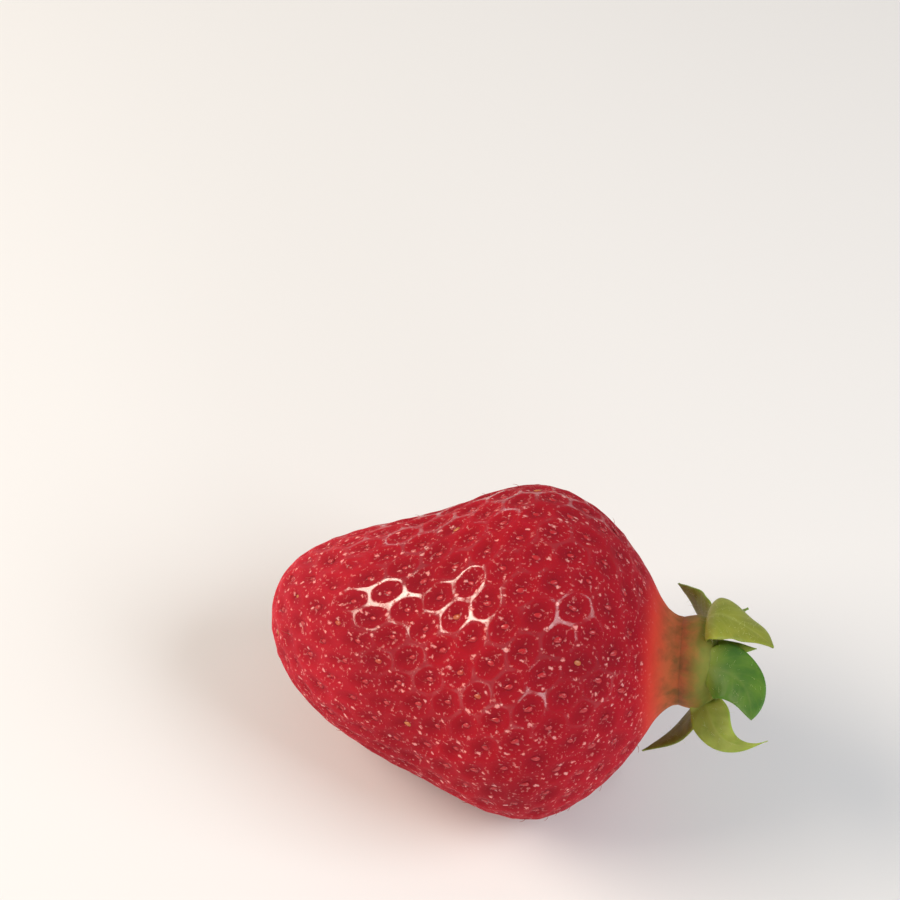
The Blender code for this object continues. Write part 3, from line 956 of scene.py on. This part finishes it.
def ripe_skin():
    """Ripe strawberry skin: red, watery flesh under a thin waxy film.

    Light sinks a millimetre or two into the flesh, which evens out its shades. The skin itself is dull.
    Stretched over the ridges' crests, the film mirrors a light as thin bright lines. Its IOR is set high so
    that lines this thin still show. Pale specks on the red are painted glints, and the pits' darker red is
    painted shade. Near the neck an orange rim highlight is painted on the red, which then turns brown.
    """
    finish, tree, shader = new_material("ripe strawberry skin")
    along = add_node(tree, "ShaderNodeAttribute", attribute_name="along").outputs["Fac"]
    from_ridge = add_node(tree, "ShaderNodeAttribute", attribute_name="from_ridge").outputs["Fac"]
    place = add_node(tree, "ShaderNodeTexCoord").outputs["Object"]
    painted_glint, dot = painted_glint_specks(tree, place)
    # The pale specks laid over the red are painted glints.
    red_with_painted_glints = painted(tree, skin_red_with_pit_shade(tree, along, from_ridge, place), (painted_glint, linear("#F6AAA6")))
    raised = add_node(tree, "ShaderNodeBump", {"Strength": 1.0, "Distance": 0.1 * MM, "Height": dot})
    fill(
        tree,
        shader,
        {
            "Base Color": turned_brown(tree, along, place, red_with_painted_glints),
            "Roughness": 0.9,
            "IOR": 1.45,
            "Specular IOR Level": 0.3,
            "Coat Weight": film_gloss(tree, along, from_ridge, place, dot),
            "Coat Normal": raised.outputs[0],
            "Coat Roughness": 0.12,
            "Coat IOR": 1.9,
        },
    )
    light_sinks_in(shader, 0.7, (1.0, 0.3, 0.2), 1.4 * MM)
    return finish


def dry_achene():
    """The achene's dry husk: hard, smooth and a little shiny, red-brown on a ripe fruit, some yellow."""
    finish, tree, shader = new_material("dry achene husk")
    tone = add_node(tree, "ShaderNodeAttribute", attribute_name="tone").outputs["Fac"]
    yellow = add_node(tree, "ShaderNodeMapRange", {"Value": tone, 1: 0.93, 2: 0.98, 3: 0, 4: 0.6})
    color = painted(tree, linear("#B4262E"), (yellow.outputs[0], linear("#C08A40")))
    fill(tree, shader, {"Base Color": color, "Roughness": 0.25, "IOR": 1.5})
    return finish


def dry_style():
    """A dried style: a papery red-brown thread."""
    finish, tree, shader = new_material("dried style")
    fill(tree, shader, {"Base Color": linear("#A8433A"), "Roughness": 0.4})
    return finish


def silky_hair():
    """Plant hair: a clear thread that looks whitish green."""
    finish, tree, shader = new_material("silky plant hair")
    fill(tree, shader, {"Base Color": linear("#C9D098"), "Roughness": 0.45})
    return finish


def leaf_veins(tree, across, share, veining):
    """How strongly the paler rib and side veins show."""
    off_rib = add_node(tree, "ShaderNodeMath", {0: across, 1: 0.5}, operation="SUBTRACT")
    from_rib = add_node(tree, "ShaderNodeMath", {0: off_rib.outputs[0]}, operation="ABSOLUTE")
    slant = add_node(
        tree, "ShaderNodeMath", {0: from_rib.outputs[0], 1: -0.55, 2: share}, operation="MULTIPLY_ADD"
    )
    turns = add_node(tree, "ShaderNodeMath", {0: slant.outputs[0], 1: LEAF_VEINS}, operation="MULTIPLY")
    wave = add_node(tree, "ShaderNodeMath", {0: turns.outputs[0]}, operation="SINE")
    vein = add_node(
        tree, "ShaderNodeMapRange", {"Value": wave.outputs[0], 1: 0.6, 2: 1.0, 3: 0, 4: 0.4 * veining}
    )
    rib = add_node(
        tree, "ShaderNodeMapRange", {"Value": from_rib.outputs[0], 1: 0.05, 2: 0.01, 3: 0, 4: veining}
    )
    lines = add_node(tree, "ShaderNodeMath", {0: vein.outputs[0], 1: rib.outputs[0]}, operation="MAXIMUM")
    return lines.outputs[0]


def calyx_leaf(name, light, dark, root, veining):
    """Calyx leaf tissue: thin, matt-waxed and lit through, with paler veins, and yellower at its root."""
    finish, tree, shader = new_material(name)
    spot = add_node(tree, "ShaderNodeUVMap", uv_map="blade").outputs[0]
    across, share, _ = add_node(tree, "ShaderNodeSeparateXYZ", {0: spot}).outputs
    place = add_node(tree, "ShaderNodeTexCoord").outputs["Object"]
    patches = add_node(tree, "ShaderNodeTexNoise", {"Vector": place, "Scale": LEAF_PATCHES, "Detail": 4})
    shade = add_node(
        tree, "ShaderNodeMapRange", {"Value": patches.outputs[0], 1: 0.35, 2: 0.65, 3: 0, 4: 1}
    )
    near_root = add_node(
        tree,
        "ShaderNodeMapRange",
        {"Value": share, 1: 0.42, 2: 0.12, 3: 0, 4: 1},
        interpolation_type="SMOOTHSTEP",
    )
    color = painted(
        tree,
        linear(light),
        (shade.outputs[0], linear(dark)),
        (leaf_veins(tree, across, share, veining), linear("#B9C070")),
        (near_root.outputs[0], linear(root)),
    )
    uneven = add_node(
        tree, "ShaderNodeBump", {"Strength": 0.3, "Distance": 0.2 * MM, "Height": patches.outputs[0]}
    )
    fill(tree, shader, {"Base Color": color, "Normal": uneven.outputs[0]})
    fill(tree, shader, {"Roughness": 0.5, "Specular IOR Level": 0.3})
    light_sinks_in(shader, 0.35, (0.5, 1.0, 0.15), 0.6 * MM)
    return finish


def stalk_green():
    """Fresh stalk tissue: pale green, in darker and lighter patches, with light sunk into it."""
    finish, tree, shader = new_material("fresh stalk")
    place = add_node(tree, "ShaderNodeTexCoord").outputs["Object"]
    fibres = add_node(tree, "ShaderNodeTexNoise", {"Vector": place, "Scale": STALK_FIBRES, "Detail": 3})
    color = painted(tree, linear("#A9B35A"), (fibres.outputs[0], linear("#7C8B34")))
    fill(tree, shader, {"Base Color": color, "Roughness": 0.5})
    light_sinks_in(shader, 0.3, (0.6, 1.0, 0.2), 0.8 * MM)
    return finish


def base_green():
    """The calyx base's tissue: it turns from the neck's brown to the sepals' yellow green, in patches."""
    finish, tree, shader = new_material("calyx base tissue")
    place = add_node(tree, "ShaderNodeTexCoord").outputs["Object"]
    patches = add_node(tree, "ShaderNodeTexNoise", {"Vector": place, "Scale": BASE_PATCHES, "Detail": 3})
    out = add_node(tree, "ShaderNodeAttribute", attribute_name="out").outputs["Fac"]
    uneven = add_node(
        tree, "ShaderNodeMath", {0: patches.outputs[0], 1: 2.4, 2: out}, operation="MULTIPLY_ADD"
    )
    greening = add_node(
        tree, "ShaderNodeMapRange", {"Value": uneven.outputs[0], 1: 0.6, 2: 3.0, 3: 0, 4: 1}
    )
    yellow_green = painted(tree, linear("#929640"), (patches.outputs[0], linear("#6C7028")))
    color = painted(tree, neck_brown(tree, place), (greening.outputs[0], yellow_green))
    fill(tree, shader, {"Base Color": color, "Roughness": 0.7, "Specular IOR Level": 0.3})
    light_sinks_in(shader, 0.7, (1.0, 0.4, 0.2), 1.4 * MM)
    return finish


def pale_board():
    """The floor: a plain matt off-white sheet."""
    finish, tree, shader = new_material("matt white board")
    fill(tree, shader, {"Base Color": linear("#ECEDEF"), "Roughness": 0.7})
    return finish


# The pieces

# Outlines as (distance out along the axis, radius). The base starts inside the neck, the stalk in the base.
BASE_PROFILE = [(-1.8, 0), (-1.9, 4.5), (-1.2, 4.9), (-0.4, 5.14), (0.4, 5.3), (1.0, 5.35), (1.6, 5.2)]
BASE_PROFILE += [(2.2, 4.9), (2.8, 4.4), (3.3, 3.7), (3.7, 2.8), (3.9, 1.8), (3.95, 0)]
STALK_PROFILE = [(2.2, 0), (2.2, 1.3), (3.4, 1.2), (4.4, 1.2), (4.65, 0.95), (4.45, 0.4), (4.5, 0)]


def stands_for(piece, node):
    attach(piece, "root")
    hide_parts(node)


def build_fruit():
    rng = np.random.default_rng(11)
    directions = sunflower_directions(ACHENES)
    corners, rings = cells_around(directions)
    bare = fruit_points(directions)[:, 0] > BARE_SHOULDER - FRUIT_LENGTH - NECK_LENGTH
    depths = pit_depths_for(directions, bare, rng)
    skin = skin_piece(directions, corners, rings, depths, ripe_skin())
    stands_for(skin, "fruit")
    seats = directions[~bare]
    clear = to_world(fruit_points(seats))[:, 2] > 0.5 * MM
    seeded = seat_mesh(seats[clear], depths[~bare][clear])
    husk = dry_achene()
    sizes = {"Length": 1.15 * MM, "Width": 0.7 * MM, "Height": 0.2 * MM, "Size Variation": 0.12, "Seed": 3}
    achenes = grown("achenes", seeded, achene_tree(husk), sizes, husk)
    stands_for(achenes, "fruit")
    thread = dry_style()
    sizes = {"Length": 0.9 * MM, "Thickness": 0.035 * MM, "Size Variation": 0.3, "Seed": 5}
    styles = grown("styles", seeded, style_tree(thread), sizes, thread)
    stands_for(styles, "fruit")


def build_calyx():
    rng = np.random.default_rng(5)
    greens = {
        # sepal_1 is painted lighter as if lit, and sepal_2 darker as if in shade: painted light and painted
        # shade.
        "sepal_1": calyx_leaf("sepal in painted light", "#929838", "#7E8830", "#8D8838", 0.2),
        "sepal_2": calyx_leaf("sepal in painted shade", "#567C2A", "#3F6A26", "#86902E", 0.06),
        "sepal_3": calyx_leaf("hanging sepal", "#9CAC48", "#84963A", "#9A9A40", 0.15),
        "sepal_4": calyx_leaf("shaded sepal", "#909A38", "#78802A", "#86823A", 0.1),
        "sepal_5": calyx_leaf("small sepal", "#94A840", "#7E9236", "#86863A", 0.15),
    }
    bract = calyx_leaf("bractlet", "#7C8F38", "#647828", "#8C8A34", 0.15)
    hair = silky_hair()
    sizes = {
        "Length": 0.7 * MM,
        "Thickness": 0.012 * MM,
        "Density": 1.2e6,
        "Size Variation": 0.6,
        "Seed": 9,
    }
    grow_hair = hair_tree(hair)
    base = turned_piece("calyx_base_leaf", smooth_profile(BASE_PROFILE), base_green(), ripple=LOBES)
    stands_for(base, "calyx_base")
    stalk = turned_piece("stalk_stub_skin", smooth_profile(STALK_PROFILE), stalk_green(), ripple=0.03)
    stands_for(stalk, "stalk_stub")
    for blades, layer, slot in ((SEPALS, SEPAL_LAYER, "leaf"), (BRACTLETS, BRACTLET_LAYER, "bractlet")):
        for name, blade in blades.items():
            leaf = blade_piece(name + "_leaf", layer, blade, greens.get(name, bract), rng)
            hairs = grown(name + "_hairs", leaf.data.copy(), grow_hair, sizes, hair)
            stands_for(leaf, name)
            stands_for(hairs, name)


# Camera, light and floor

FRAME_WIDTH = 103.5 * MM  # how much of the world the frame shows at the berry
CAMERA_LENS = 100
CAMERA_HEIGHT = math.radians(45)
CAMERA_ROLL = math.radians(12)
BERRY_RIGHT = 8.48 * MM  # how far the berry's middle is right of the frame's middle
BERRY_DOWN = 22.39 * MM
FLOOR_GAP = 0.05 * MM  # keeps the floor off the flat spot, so that the two don't flicker


def camera_axes():
    """(right, up, back) of the camera."""
    back = Vector((0, -math.cos(CAMERA_HEIGHT), math.sin(CAMERA_HEIGHT)))
    level = Vector((1, 0, 0))
    plumb = back.cross(level)
    right = level * math.cos(CAMERA_ROLL) + plumb * math.sin(CAMERA_ROLL)
    return right, back.cross(right), back


def berry_middle():
    low, high = cad_bounds
    return (Vector(low) + Vector(high)) / 2


def add_camera():
    right, up, back = camera_axes()
    data = bpy.data.cameras.new("camera")
    data.lens = CAMERA_LENS
    data.clip_start = 0.01
    camera = bpy.data.objects.new("camera", data)
    bpy.context.scene.collection.objects.link(camera)
    distance = FRAME_WIDTH * CAMERA_LENS / data.sensor_width
    place = berry_middle() + back * distance - right * BERRY_RIGHT + up * BERRY_DOWN
    camera.matrix_world = Matrix.Translation(place) @ Matrix((right, up, back)).transposed().to_4x4()
    bpy.context.scene.camera = camera


def add_softbox(name, toward, distance, size, power, color="#FFFFFF", stretch=1.0):
    """A soft light that faces the berry. toward is (right, up, back) as the camera sees it."""
    right, up, back = camera_axes()
    direction = (right * toward[0] + up * toward[1] + back * toward[2]).normalized()
    data = bpy.data.lights.new(name, "AREA")
    data.shape = "RECTANGLE"
    data.size = size * stretch
    data.size_y = size
    data.energy = power
    data.color = linear(color)[:3]
    light = bpy.data.objects.new(name, data)
    light.location = berry_middle() + direction * distance
    light.rotation_euler = direction.to_track_quat("Z", "Y").to_euler()
    bpy.context.scene.collection.objects.link(light)


def add_floor():
    bpy.ops.mesh.primitive_plane_add(size=3)
    floor = bpy.context.object
    floor.name = "floor"
    floor.location.z = -FLOOR_GAP
    floor.data.materials.append(pale_board())


def add_studio():
    add_softbox("key", (-0.76, 0.46, 0.48), 0.6, 0.26, 3.6, "#FFF0DC", stretch=1.6)
    add_softbox("right fill", (0.76, 0.25, 0.6), 0.6, 0.36, 2.1)
    add_softbox("low fill", (0.3, -0.55, 0.78), 0.6, 0.22, 0.55)
    add_softbox("back", (-0.25, 0.85, -0.45), 0.8, 0.2, 0.2)
    world = bpy.data.worlds.new("studio")
    world.use_nodes = True
    sky = world.node_tree.nodes["Background"]
    fill(world.node_tree, sky, {"Color": (1, 1, 1, 1), "Strength": 0.25})
    bpy.context.scene.world = world
    bpy.context.scene.view_settings.view_transform = "Standard"


add_camera()
add_studio()
add_floor()
build_fruit()
build_calyx()
